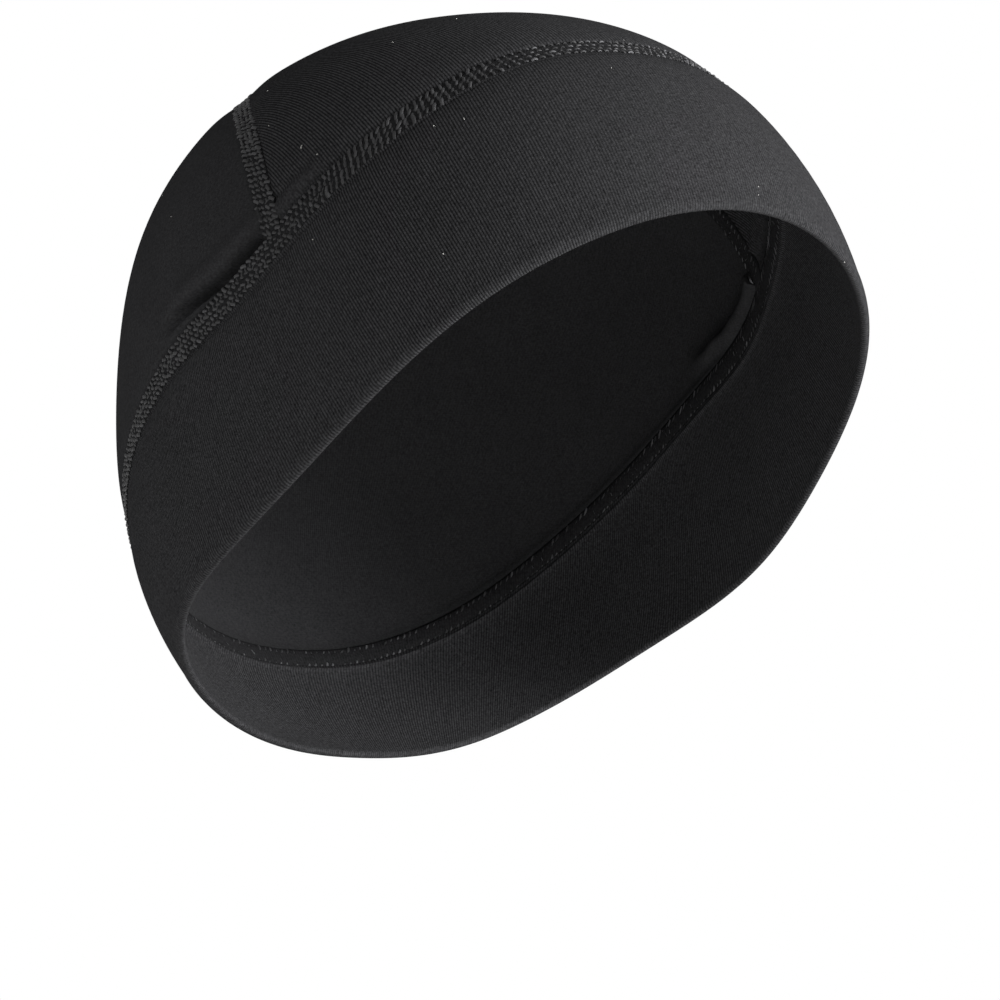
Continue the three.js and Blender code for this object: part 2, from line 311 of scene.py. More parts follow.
class SeamLine:
    """A seam's middle line, for the distance and the place along it that are nearest a point."""

    def __init__(self, points, along):
        self.points, self.along = points, along
        self.tree = KDTree(len(points))
        for i, point in enumerate(points):
            self.tree.insert(point, i)
        self.tree.balance()

    def nearest(self, points):
        """Distance to the line, the place along it and the step toward it, for each point."""
        found = [self.tree.find(point)[1:] for point in points.tolist()]
        index = np.array([f[0] for f in found])
        away = np.array([f[1] for f in found])
        return away, self.along[index], self.points[index] - points


ROUND = full_turn(1440)
BAND_LINE = SeamLine(on_head(beside_band_seam(ROUND, 0.0)), ROUND)
TURNS = np.linspace(-ARCH_SPAN, ARCH_SPAN, 720)
ARCH_LINE = SeamLine(arch_point(TURNS, 0.0), TURNS)


def hump(x, middle, reach):
    return np.exp(-(((x - middle) / reach) ** 2))


def fold(distance, shape):
    """A fold in the cloth, by its height, the distance of its middle and its reach."""
    height, middle, reach = shape
    return height * hump(distance, middle, reach)


def angle_between(ways, goal):
    return np.arccos(np.clip((ways * goal).sum(axis=-1), -1, 1))


def window(x, low, high, soft):
    """1 between low and high, fading to 0 over the soft distance at either end."""
    rise = np.clip((x - low + soft) / soft, 0, 1)
    fall = np.clip((high + soft - x) / soft, 0, 1)
    return rise * rise * (3 - 2 * rise) * fall * fall * (3 - 2 * fall)


# Spans round the head are degrees from the front: where they begin, end, and the fade at each end.
# Folds are a height, a distance from the seam's middle and a reach, and sides are -1 and 1
EAR_WAY = direction(np.array(86 * RAD), np.array(112 * RAD))
EAR_REACH = 20 * RAD
UNEVENNESS = 0.10
ARCH_TOP, ARCH_FADE = 0.6, 0.15
ARCH_DROP = (-0.35, 0.0, 4.0)
ARCH_VALLEY = 0.4
VALLEY_PLACE, VALLEY_REACH = 0.1, 0.38
FURROW_SIDES = ((-1, 1.0), (1, 0.45))
FURROW_SPAN = (77, 97, 10)
FURROW_EDGES = (4.7, 6.6, 1.7)
FURROW_DRIFT, DRIFT_START, DRIFT_SPAN = 2.0, 88, 14
BULGE = (0.9, 9.6, 1.9)
OVERHANG = (1.0, 8.3, 1.3)
ROLL_SIDES = ((-1, 1.0), (1, 0.7))
ROLL_SPAN = (70, 77, 5)
ROLL = (0.55, 6.6, 2.0)
ROLL_CREASE = (-0.7, 9.4, 1.2)


def cloth_lift(points, panel, sizes):
    """Height of the cloth's outer face above the head form, and its lean toward the band seam."""
    band, azimuth, toward = BAND_LINE.nearest(points)
    arch, turn = ARCH_LINE.nearest(points)[:2]
    degrees = azimuth / RAD
    lean = np.zeros(points.shape)
    by_band, by_arch = (hump(d, 0, PINCH_REACH) for d in (band, arch))
    lift = -PINCH_DEPTH * (1 - (1 - by_band) * (1 - by_arch))
    way = unit(points)
    way[..., 0] = np.abs(way[..., 0])
    lift = lift + EAR_LIFT * hump(angle_between(way, EAR_WAY), 0, EAR_REACH)
    # The cloth is never quite even between its seams
    x, y, z = points[..., 0], points[..., 1], points[..., 2]
    lift = lift + UNEVENNESS * np.sin(x / 11 + z / 17 + 0.4) * np.sin(y / 13 - z / 19 + 1.1)
    ends = np.clip((np.abs(turn) / ARCH_SPAN - ARCH_TOP) / ARCH_FADE, 0, 1)
    if panel == "seam":
        # Over the top of the head the crown seam is pulled down flat
        return lift + (1 - ends) * fold(arch, ARCH_DROP), lean
    # A narrow valley where the cloth dives in under the stitches
    valley = sizes.seam_valley / MM
    lift = lift - valley * hump(band, band_half(azimuth) + VALLEY_PLACE, VALLEY_REACH)
    lift = lift - ARCH_VALLEY * valley * ends * hump(arch, ARCH_WIDTH / 2 + VALLEY_PLACE, VALLEY_REACH)
    if panel == "crown_back":
        # Behind the side of the head the panel bulges over a furrow along the band seam
        for side, share in FURROW_SIDES:
            along = share * window(degrees * side, *FURROW_SPAN)
            away = band - FURROW_DRIFT * np.clip((degrees * side - DRIFT_START) / DRIFT_SPAN, 0, 1)
            furrow = sizes.furrow_depth / MM * window(away, *FURROW_EDGES)
            lift = lift + along * (fold(away, BULGE) - furrow)
            lean = lean + unit(toward) * (along * fold(away, OVERHANG))[..., None]
    if panel == "crown_front":
        # Ahead of it the panel rolls over the seam, with a crease above the roll
        for side, share in ROLL_SIDES:
            along = share * window(degrees * side, *ROLL_SPAN)
            lift = lift + along * (fold(band, ROLL) + fold(band, ROLL_CREASE))
    return lift, lean


def settle(ways, depth, panel, sizes):
    """Points on the cloth at a depth below its outer face, in millimetres from the head's centre."""
    on = on_head(ways)
    lift, lean = cloth_lift(on, panel, sizes)
    return on + lean + head_normal(ways) * (lift - depth)[..., None]


# How much of the wales' relief goes at the brow, behind on the band and on the crown's front roll
BROW_POLAR, BROW_REACH, BROW_LOSS = 62 * RAD, 28 * RAD, 0.8
BEHIND_SPAN, BEHIND_LOSS = (85, 181, 25), 0.4
ROLLED_SPAN, ROLLED = (69, 79, 4), (0.85, 6.0, 3.2)


def rib_relief(ways, panel):
    """How clearly the wales stand out: they flatten where the cloth is stretched or rolled."""
    brow = angle_between(unit(ways), direction(0.0, BROW_POLAR))
    relief = 1 - BROW_LOSS * hump(brow, 0, BROW_REACH)
    band, azimuth = BAND_LINE.nearest(on_head(ways))[:2]
    degrees = np.abs(azimuth) / RAD
    if panel == "band":
        relief = relief * (1 - BEHIND_LOSS * window(degrees, *BEHIND_SPAN))
    if panel == "crown_front":
        relief = relief * (1 - window(degrees, *ROLLED_SPAN) * fold(band, ROLLED))
    return relief


# Meshes


def strip_faces(first, second, closed, shift):
    """Quads between two rows of vertex numbers, with the corners of the wrapped column shifted."""
    n = len(first)
    i = np.arange(n if closed else n - 1)
    k = (i + 1) % n
    faces = np.stack([first[i], first[k], second[k], second[i]], axis=1)
    over = (k == 0)[:, None] * np.array([0, 1, 1, 0]) * shift
    return faces, over


def loop_faces(rows, closed, shift):
    """Quads from each row to the next, with the last row joined to the first."""
    pairs = [strip_faces(row, rows[(i + 1) % len(rows)], closed, shift) for i, row in enumerate(rows)]
    return [np.concatenate(part) for part in zip(*pairs)]


def run_along(line, pitch=1.0):
    """Distance along a line of points from its start, in steps of the pitch."""
    steps = np.linalg.norm(np.diff(line, axis=0), axis=1) / pitch
    return np.concatenate([[0.0], np.cumsum(steps)])


def link_new(name, data):
    """A new object of the scene."""
    item = bpy.data.objects.new(name, data)
    bpy.context.scene.collection.objects.link(item)
    return item


def make_mesh(name, points, faces, knit=None, over=None, relief=1.0):
    """A smooth closed mesh of quads in the part's frame, its faces turned outward."""
    a, b, c, d = (points[faces[:, i]] for i in range(4))
    if (a * (np.cross(b, c) + np.cross(c, d))).sum() < 0:
        faces = faces[:, ::-1]
        over = None if over is None else over[:, ::-1]
    mesh = bpy.data.meshes.new(name)
    rows = [[v for i, v in enumerate(face) if v not in face[:i]] for face in faces.tolist()]
    mesh.from_pydata(((points + HEAD_CENTRE) * MM).tolist(), [], rows)
    if knit is not None:
        corners = knit[faces] + np.stack([over, np.zeros_like(over)], axis=-1)
        kept = np.array([v not in face[:i] for face in faces.tolist() for i, v in enumerate(face)])
        layer = mesh.uv_layers.new(name="knit")
        layer.data.foreach_set("uv", (corners.reshape(-1, 2)[kept] * MM).ravel())
        strength = mesh.attributes.new("relief", "FLOAT", "POINT")
        strength.data.foreach_set("value", np.ones(len(points)) * relief)
    mesh.polygons.foreach_set("use_smooth", [True] * len(mesh.polygons))
    mesh.update()
    return link_new(name, mesh)


def finish(piece, material, node):
    piece.data.materials.clear()
    piece.data.materials.append(material)
    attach(piece, "root")
    if node:
        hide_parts(node)


# The wales of the band are lines up the cloth that lean with its cut: slopes of their own lean and
# of what the cut adds to it, as far round as the cut reaches, and the band's mean radius
WALE_SLOPE, CUT_SLOPE = 0.13, 0.57
CUT_END = 120 * RAD
BAND_RADIUS = 82.0

# Rows of points: up from the fold, as shares of the space between, and down from the top
BAND_COLUMNS = 720
FOLD_ROWS = (0.0, 0.03, 0.12, 0.27, 0.48, 0.75, 1.05, 1.4, 1.8, 2.3, 3.0, 3.9, 5.2, 7.0, 9.5, 12.5)
BETWEEN_ROWS = (0.12, 0.26, 0.4, 0.54, 0.68, 0.82, 0.93)
TOP_ROWS = (12.0, 9.5, 7.5, 6.0, 5.0, 4.2, 3.5, 3.0, 2.5, 2.1, 1.7, 1.4, 1.1, 0.8, 0.4, 0.0)

# Share of the wall that the fold rolls under and how high it starts, on either face, and the
# place and reach of the swell above it
FOLD_OUTSIDE, FOLD_INSIDE = (0.62, 2.1), (0.38, 1.0)
HEM_SWELL = (2.6, 1.6)


def band_wales(azimuth, distance):
    """Angle round the band at which a place's wale crosses the band's middle."""
    goal = band_height(azimuth) / 2
    here = np.array(azimuth)
    steps = 10
    for _ in range(steps):
        cut = np.where(np.abs(here) > CUT_END, 0, CUT_SLOPE * np.sin(1.5 * here))
        here = here + (cut + WALE_SLOPE * np.cos(here)) * (goal - distance) / steps / BAND_RADIUS
    return here


def build_band(sizes, material):
    azimuth = full_turn(BAND_COLUMNS)
    top = band_height(azimuth) - band_half(azimuth) + TUCK
    low, high = FOLD_ROWS[-1], top - TOP_ROWS[0]
    heights = [np.full(BAND_COLUMNS, h) for h in FOLD_ROWS]
    heights += [low + (high - low) * share for share in BETWEEN_ROWS]
    heights += [top - s for s in TOP_ROWS]
    line = on_head(direction(azimuth, climb(azimuth, band_height(azimuth) / 2)))
    wrapped = np.concatenate([azimuth, [math.pi]])
    run = run_along(np.concatenate([line, line[:1]]))

    def wale_place(distance):
        turns, rest = np.divmod(band_wales(azimuth, distance) + math.pi, 2 * math.pi)
        return np.interp(rest - math.pi, wrapped, run) + turns * run[-1]

    points, knit, relief = [], [], []
    for outside, rows in ((True, heights), (False, heights[1:])):
        part, reach = FOLD_OUTSIDE if outside else FOLD_INSIDE
        for height in rows:
            share = np.clip(height / reach, 0, 1)
            drop = part * BAND_WALL * (1 - np.sqrt(1 - (1 - share) ** 2))
            swell = sizes.hem_roll / MM * hump(height, *HEM_SWELL) * np.clip(height, 0, 1)
            ways = direction(azimuth, climb(azimuth, height))
            points.append(settle(ways, drop - swell if outside else BAND_WALL - drop, "band", sizes))
            relief.append(rib_relief(ways, "band"))
            knit.append(np.stack([wale_place(height), height], axis=1))
    count = len(heights)
    order = [*range(count - 1, -1, -1), *range(count, 2 * count - 1)]
    numbers = [np.arange(BAND_COLUMNS) + row * BAND_COLUMNS for row in order]
    faces, over = loop_faces(numbers, True, run[-1])
    points, knit, relief = (np.concatenate(rows) for rows in (points, knit, relief))
    piece = make_mesh("band_cloth", points, faces, knit, over, relief)
    finish(piece, material, "band")


def crown_boundary(side):
    """Ways to the edge of a crown panel: along the crown seam, then back along the band seam."""
    offset = side * (ARCH_WIDTH / 2 - TUCK)
    turn = arch_end(offset, -TUCK)
    seam = arch_point(np.linspace(-turn, turn, 301), offset)
    corner = angles_of(seam[-1])[0]
    last, count = (-corner, 330) if side > 0 else (2 * math.pi - corner, 420)
    azimuth = np.linspace(corner, last, count)[1:-1]
    lower = beside_band_seam(azimuth, band_half(azimuth) - TUCK)
    return np.concatenate([unit(seam), lower])


# Radii that the wales of the crown's panels are spread over, how those of the front spread toward
# the forehead and crowd at the sides, and the lean of the fan behind
FRONT_RADIUS, BACK_RADIUS = 74.0, 84.0
FRONT_SPREAD, SPREAD_REACH = 0.055, 18.0
CROWDING, CROWDING_REACH = 2.2, 60.0
FAN_LEAN = 40 * RAD
OUTER_RINGS, INNER_RINGS = 66, 22


def crown_front_wales(points):
    """Wales run from front to back over the crown, and spread a little toward the forehead."""
    x, y = points[:, 0], points[:, 1]
    level = (x + FRONT_SPREAD * y * np.tanh(x / SPREAD_REACH)) / FRONT_RADIUS
    round_head = FRONT_RADIUS * np.arcsin(np.clip(level, -0.998, 0.998))
    return np.stack([round_head + CROWDING * (x / CROWDING_REACH) ** 7, y], axis=1)


def crown_back_wales(points):
    """Wales fan from the top of the crown down to the band behind."""
    back = points[:, 1] * math.cos(FAN_LEAN) + points[:, 2] * math.sin(FAN_LEAN)
    fan = np.arctan2(points[:, 0], np.maximum(back, 1e-3))
    return np.stack([BACK_RADIUS * fan, points[:, 2]], axis=1)


def build_crown(name, node, centre, side, wales, sizes, material):
    """A panel of rings round its centre, closer toward the edge, with its inner face under them."""
    edge = crown_boundary(side)
    sweep = angle_between(edge, centre)[:, None]
    count = len(edge)
    points, knit, relief, faces, rims = [], [], [], [], []
    total = 0
    for depth, rings, turn in ((0.0, OUTER_RINGS, 1), (CROWN_WALL, INNER_RINGS, -1)):
        before = np.full(count, total)
        for ring in range(rings + 1):
            share = 1 - (1 - ring / rings) ** 2
            ways = centre * np.sin((1 - share) * sweep) + edge * np.sin(share * sweep)
            ways = ways if ring else centre[None]
            points.append(settle(ways, np.full(len(ways), depth), node, sizes))
            knit.append(wales(on_head(ways)))
            relief.append(rib_relief(ways, node))
            if ring:
                row = np.arange(count) + total
                faces.append(strip_faces(before, row, True, 0)[0][:, ::turn])
                before = row
            total += len(ways)
        rims.append(before)
    faces.append(strip_faces(*rims, True, 0)[0])
    points, knit, relief, faces = (np.concatenate(rows) for rows in (points, knit, relief, faces))
    piece = make_mesh(name, points, faces, knit, np.zeros(faces.shape), relief)
    finish(piece, material, node)


# Seams

# Places of the four needle rows across the seam, from the side of the band or of the back panel, as
# shares of its width, and how far along its stitch each row starts
NEEDLES = (-0.39, -0.13, 0.13, 0.39)
PHASES = (0.5, 0.0, 0.46, 0.05)

# The strip of cloth edges under the stitches: points across its faces and along the crown seam,
# the grooves that the rows of thread press in, and how far its inner face is rounded
OUTER_ROWS, INNER_ROWS = 25, 9
ARCH_COLUMNS = 361
GROOVE = (0.12, 0.0, 0.3)
INNER_ROUNDING = 0.25
ROW_SPACING, END_PLACE = 0.22, 2.7


def seam_section():
    """Rows across a seam, as shares of its width and heights over the cloth, over both faces."""
    rows = []
    for across in np.linspace(-0.5, 0.5, OUTER_ROWS):
        grooves = sum(fold((across - needle) * SEAM_WIDTH, GROOVE) for needle in NEEDLES)
        rows.append((across, SEAM_PROUD * (1 - (2 * abs(across)) ** 3) - grooves))
    for across in np.linspace(0.5, -0.5, INNER_ROWS):
        rows.append((across, SEAM_PROUD - SEAM_WALL + INNER_ROUNDING * (2 * abs(across)) ** 3))
    return rows


def seam_ring(sizes):
    """The band seam's strip of butted cloth edges, as rows of points across it."""
    azimuth = full_turn(BAND_COLUMNS)
    rows = []
    for across, height in seam_section():
        ways = beside_band_seam(azimuth, across * 2 * band_half(azimuth))
        rows.append(settle(ways, np.full(BAND_COLUMNS, -height), "seam", sizes))
    return rows


def arch_strip(sizes):
    """The crown seam's strip, which runs in under the band seam at either end."""
    rows = []
    for across, height in seam_section():
        offset = across * ARCH_WIDTH
        end = arch_end(offset, -TUCK)
        ways = arch_point(np.linspace(-end, end, ARCH_COLUMNS), offset)
        rows.append(settle(ways, np.full(ARCH_COLUMNS, -height), "seam", sizes))
    return rows


def build_strip(name, node, rows, closed, material):
    count = len(rows[0])
    numbers = [np.arange(count) + i * count for i in range(len(rows))]
    middle = rows[OUTER_ROWS // 2]
    run = run_along(middle)
    length = run[-1] + (np.linalg.norm(middle[0] - middle[-1]) if closed else 0)
    knit = [np.stack([run, np.full(count, i * ROW_SPACING)], axis=1) for i in range(len(rows))]
    points, knit = np.concatenate(rows), np.concatenate(knit)
    faces, over = loop_faces(numbers, closed, length)
    if not closed:
        for end, turn in ((0, 1), (count - 1, -1)):
            hub = np.full(len(rows), len(points))
            points = np.concatenate([points, np.mean([row[end] for row in rows], axis=0)[None]])
            knit = np.concatenate([knit, [[run[end], END_PLACE]]])
            ring = np.array([number[end] for number in numbers])
            cap, shifts = strip_faces(ring, hub, True, 0)
            faces = np.concatenate([faces, cap[:, ::turn]])
            over = np.concatenate([over, shifts])
    piece = make_mesh(name, points, faces, knit, over)
    finish(piece, material, node)


# Beads of thread on a seam's outside, as they are at rest and what they gain where the cap is
# stretched over the forehead and where it is pulled beside the ears: slant, reach to either side,
# thickness, and the top of their random tone, raised over the forehead as a painted highlight, and
# the top of the tone of the thread sunk between them, lowered there as painted shade
BEAD_SLANT = (0.05, 0.0, 0.33)
BEAD_REACH = (0.10, -0.09, -0.045)
BEAD_THICKNESS = (1.5, -0.4, 0.15)
BEAD_TONE_AND_HIGHLIGHT = (0.55, 0.45, 0.0)
SUNK_TONE_AND_SHADE = (0.4, -0.35, 0.0)
BEAD_STRETCH = 0.17
BEAD_LENGTH, BEAD_HEIGHT = 1.25, 0.85
SUNK_SIZE, SUNK_LIFT = (0.95, 1.1, 0.6), -0.12
STRAY_ACROSS, STRAY_ALONG, STRAY_TURN, STRAY_SIZE = 0.10, 0.12, 0.25, 0.14

# How far the threads are pressed into the outer face and the loops into the inner one
THREAD_SINK, LOOPER_SINK = 0.12, 0.1


def stitch_places(rows_at, count, front, side, closed, inner, seed):
    """Places, ways, sizes and tone top of the stitches of one seam, with painted highlight and shade.

    rows_at gives points and outward normals at shares along the seam and places across it. front
    and side say for each stitch how far it is stretched over the forehead or pulled beside the ear.
    """
    random = np.random.default_rng(seed)
    groups = [[], [], [], [], []]
    places = np.arange(count) + 0.5

    def drawn(values):
        rest, stretched, pulled = values
        return rest + stretched * front + pulled * side

    def lay(start, end, size, lift, tone_and_painted_light):
        """One thread in each stitch, from one place along and across it to another."""
        spots = [np.broadcast_to(value, places.shape) for value in (*start, *end, tone_and_painted_light, size[1])]
        first, last = (places + spots[0]) / count, (places + spots[2]) / count
        inside = (np.minimum(first, last) > 0.001) & (np.maximum(first, last) < 0.999) | closed
        first, last, *spots = (row[inside] for row in (first, last, *spots))
        a, normal_a = rows_at(first, spots[1])
        b, normal_b = rows_at(last, spots[3])
        out = unit(normal_a + normal_b) * (-1 if inner else 1)
        span, way = np.linalg.norm(b - a, axis=1), unit(b - a)
        across = np.cross(out, way)
        # No two stitches of a seam lie quite alike
        stray = random.normal(0, 1, (4, len(a), 1))
        middle = (a + b) / 2 + out * lift
        middle = middle + across * stray[0] * STRAY_ACROSS + way * stray[1] * STRAY_ALONG
        scale = np.stack([span * size[0], spots[5], np.full(len(a), size[2])], axis=1)
        scale = scale * (1 + STRAY_SIZE * np.clip(stray[2], -2, 2))
        rows = (middle, unit(b - a + across * stray[3] * STRAY_TURN), out, scale, spots[4])
        for group, row in zip(groups, rows):
            group.append(row)

    # Stretched stitches lie along the seam, slack ones stand across it as fat beads, and beside the
    # ears they slant, back ends toward the crown on either side of the head
    turned = np.where(places < count / 2, 1.0, -1.0)
    half = turned * drawn(BEAD_SLANT) + BEAD_STRETCH * front
    reach = drawn(BEAD_REACH)
    bead = (BEAD_LENGTH, drawn(BEAD_THICKNESS), BEAD_HEIGHT)
    if not inner:
        for needle, phase in zip(NEEDLES, PHASES):
            ends = (phase - half, needle + reach), (phase + half, needle - reach)
            # Over the forehead the beads' tone is raised, as a painted highlight
            lay(*ends, bead, 0.0, drawn(BEAD_TONE_AND_HIGHLIGHT))
    # Over the forehead the sunk thread's tone is lowered, as painted shade
    tone_and_painted_light = 1.0 if inner else drawn(SUNK_TONE_AND_SHADE)
    for row in range(3):
        ends = (PHASES[row + 1], NEEDLES[row + 1]), (PHASES[row], NEEDLES[row])
        lay(*ends, SUNK_SIZE, SUNK_LIFT, tone_and_painted_light)
    return [np.concatenate(group) for group in groups]


# The kind of node that most of the patterns are made of
MATH = "ShaderNodeMath"


def add(tree, kind, links=None, **settings):
    """Adds a node with its settings.

    Links are by input name or number, to a socket, to another node's first output or to a value.
    """
    node = tree.nodes.new(kind)
    for key, value in settings.items():
        setattr(node, key, value)
    for key, value in (links or {}).items():
        if isinstance(value, bpy.types.Node):
            value = value.outputs[0]
        if isinstance(value, bpy.types.NodeSocket):
            tree.links.new(value, node.inputs[key])
        else:
            node.inputs[key].default_value = value
    return node


STITCH_INPUTS = {
    "Geometry": "NodeSocketGeometry",
    "Thread Radius": "NodeSocketFloat",
    "Thread Rise": "NodeSocketFloat",
    "Sides": "NodeSocketInt",
    "Steps": "NodeSocketInt",
    "Unevenness": "NodeSocketFloat",
    "Seed": "NodeSocketInt",
    "Material": "NodeSocketMaterial",
}
STITCH_SINK = 0.12
UNEVEN_SIZE = 0.08


def stitch_tree():
    """One arched thread at each place, turned along the stitch and scaled to its size."""
    tree = bpy.data.node_groups.new("Stitches", "GeometryNodeTree")
    for name, kind in STITCH_INPUTS.items():
        tree.interface.new_socket(name, in_out="INPUT", socket_type=kind)
    tree.interface.new_socket("Geometry", in_out="OUTPUT", socket_type="NodeSocketGeometry")
    given = add(tree, "NodeGroupInput").outputs
    stored = "GeometryNodeInputNamedAttribute"
    along = add(tree, stored, {"Name": "along"}, data_type="FLOAT_VECTOR")
    out = add(tree, stored, {"Name": "out"}, data_type="FLOAT_VECTOR")
    size = add(tree, stored, {"Name": "size"}, data_type="FLOAT_VECTOR")
    tone_and_painted_light = add(tree, stored, {"Name": "tone_and_painted_light"}, data_type="FLOAT")
    arch = {
        "Resolution": given["Steps"],
        "Start": (-0.5 * MM, 0, -STITCH_SINK * MM),
        "Middle": add(tree, "ShaderNodeCombineXYZ", {"Z": given["Thread Rise"]}),
        "End": (0.5 * MM, 0, -STITCH_SINK * MM),
    }
    line = add(tree, "GeometryNodeCurveQuadraticBezier", arch)
    share = add(tree, "GeometryNodeSplineParameter").outputs["Factor"]
    swell = add(tree, MATH, {0: share, 1: math.pi}, operation="MULTIPLY")
    swell = add(tree, MATH, {0: swell}, operation="SINE")
    swell = add(tree, MATH, {0: swell, 1: 0.5, 2: 0.5}, operation="MULTIPLY_ADD")
    line = add(tree, "GeometryNodeSetCurveRadius", {"Curve": line, "Radius": swell})
    circle = {"Resolution": given["Sides"], "Radius": given["Thread Radius"]}
    ring = add(tree, "GeometryNodeCurvePrimitiveCircle", circle)
    sweep = {"Curve": line, "Profile Curve": ring, "Fill Caps": True}
    thread = add(tree, "GeometryNodeCurveToMesh", sweep)
    axes = {"Primary Axis": out, "Secondary Axis": along}
    turned = add(tree, "FunctionNodeAxesToRotation", axes, primary_axis="Z", secondary_axis="X")
    least = add(tree, MATH, {0: 1.0, 1: given["Unevenness"]}, operation="SUBTRACT")
    most = add(tree, MATH, {0: 1.0, 1: given["Unevenness"]}, operation="ADD")
    spread = {2: least, 3: most, "Seed": given["Seed"]}
    spread = add(tree, "FunctionNodeRandomValue", spread, data_type="FLOAT").outputs[1]
    scaled = add(tree, "ShaderNodeVectorMath", {0: size, 1: spread}, operation="MULTIPLY")
    places = {"Points": given["Geometry"], "Instance": thread, "Rotation": turned, "Scale": scaled}
    placed = add(tree, "GeometryNodeInstanceOnPoints", places)
    next_seed = add(tree, MATH, {0: given["Seed"], 1: 1.0}, operation="ADD")
    # Random tone up to the stored top, which holds the painted highlight and shade
    tone = {2: 0.0, 3: tone_and_painted_light, "Seed": next_seed}
    tone = add(tree, "FunctionNodeRandomValue", tone, data_type="FLOAT").outputs[1]
    kept = {"Geometry": placed, "Name": "tone", "Value": tone}
    toned = add(tree, "GeometryNodeStoreNamedAttribute", kept, data_type="FLOAT", domain="INSTANCE")
    real = add(tree, "GeometryNodeRealizeInstances", {"Geometry": toned})
    smooth = add(tree, "GeometryNodeSetShadeSmooth", {"Geometry": real})
    cover = {"Geometry": smooth, "Material": given["Material"]}
    dressed = add(tree, "GeometryNodeSetMaterial", cover)
    add(tree, "NodeGroupOutput", {0: dressed})
    return tree


def bake(piece, tree, values):
    """Runs a tree on a piece and leaves its result as a plain mesh."""
    grown = piece.modifiers.new("grow", "NODES")
    grown.node_group = tree
    sockets = {s.name: s.identifier for s in tree.interface.items_tree if s.in_out == "INPUT"}
    for name, value in values.items():
        grown[sockets[name]] = value
    graph = bpy.context.evaluated_depsgraph_get()
    mesh = bpy.data.meshes.new_from_object(piece.evaluated_get(graph))
    mesh.name = piece.name
    piece.modifiers.clear()
    piece.data = mesh


def build_stitches(name, node, group, sizes, material, sides, steps, seed):
    places, alongs, outs, dims, tones_and_painted_light = group
    mesh = bpy.data.meshes.new(name + "_places")
    mesh.from_pydata(((places + HEAD_CENTRE) * MM).tolist(), [], [])
    for key, values in (("along", alongs), ("out", outs), ("size", dims)):
        layer = mesh.attributes.new(key, "FLOAT_VECTOR", "POINT")
        layer.data.foreach_set("vector", values.astype(np.float32).ravel())
    mesh.attributes.new("tone_and_painted_light", "FLOAT", "POINT").data.foreach_set("value", tones_and_painted_light.astype(np.float32))
    piece = link_new(name, mesh)
    tree = bpy.data.node_groups.get("Stitches") or stitch_tree()
    values = {
        "Thread Radius": sizes.thread_radius,
        "Thread Rise": sizes.thread_rise,
        "Sides": sides,
        "Steps": steps,
        "Unevenness": UNEVEN_SIZE,
        "Seed": seed,
        "Material": material,
    }
    bake(piece, tree, values)
    finish(piece, material, node)


# Degrees from the front over which the band seam is stretched and pulled, the pull on the crown
# seam, and how far that seam's stitches run in under the band seam
STRETCHED_SPAN, PULLED_SPAN = (-1, 24, 16), (82, 181, 25)
ARCH_PULL = 0.75
STITCH_TUCK = 0.5


def rows_along_band(sizes, depth):
    """Reader of the band seam, its number of stitches, and how far each is stretched and pulled."""
    azimuth = np.linspace(-math.pi, math.pi, 1441)
    pitch = sizes.stitch_pitch / MM * STITCH_LINE(from_front((azimuth[1:] + azimuth[:-1]) / 2))
    run = run_along(on_head(beside_band_seam(azimuth, 0.0)), pitch)

    def at(shares, across):
        where = np.interp((shares % 1.0) * run[-1], run, azimuth)
        ways = beside_band_seam(where, across * 2 * band_half(where))
        return settle(ways, np.full(where.shape, depth), "seam", sizes), head_normal(ways)

    count = round(run[-1])
    degrees = from_front(np.interp((np.arange(count) + 0.5) / count * run[-1], run, azimuth)) / RAD
    return at, count, window(degrees, *STRETCHED_SPAN), window(degrees, *PULLED_SPAN)


def rows_along_arch(sizes, depth):
    """Reader of the crown seam from end to end, its number of stitches, and their stretch and pull."""
    edges = (-0.5, 0.0, 0.5)
    ends = [arch_end(share * ARCH_WIDTH, -STITCH_TUCK) for share in edges]
    turns = np.linspace(-ends[1], ends[1], 721)
    run = run_along(arch_point(turns, 0.0))

    def at(shares, across):
        reach = np.interp(across, edges, ends) / ends[1]
        where = np.interp(shares * run[-1], run, turns) * reach
        ways = arch_point(where, across * ARCH_WIDTH)
        return settle(ways, np.full(where.shape, depth), "seam", sizes), head_normal(ways)

    count = round(run[-1] / (sizes.stitch_pitch / MM))
    return at, count, np.zeros(count), np.full(count, ARCH_PULL)


# Lint: a few pale fibres, as on any dark knit. Azimuth, polar angle and length of each, then the
# number of those at random, and the thickness, bow and sag of all
SPECKS = (
    (-46.0, 57.0, 0.34),
    (-40.3, 57.0, 0.50),
    (-11.9, 49.4, 0.34),
    (-71.1, 57.5, 0.34),
    (-75.7, 55.4, 0.9),
    (-69.3, 73.0, 0.28),
)
MORE_LINT = 20
LINT_THICKNESS, LINT_BOW, LINT_ARCH, LINT_LIFT = 0.055, 0.25, 0.1, 0.05


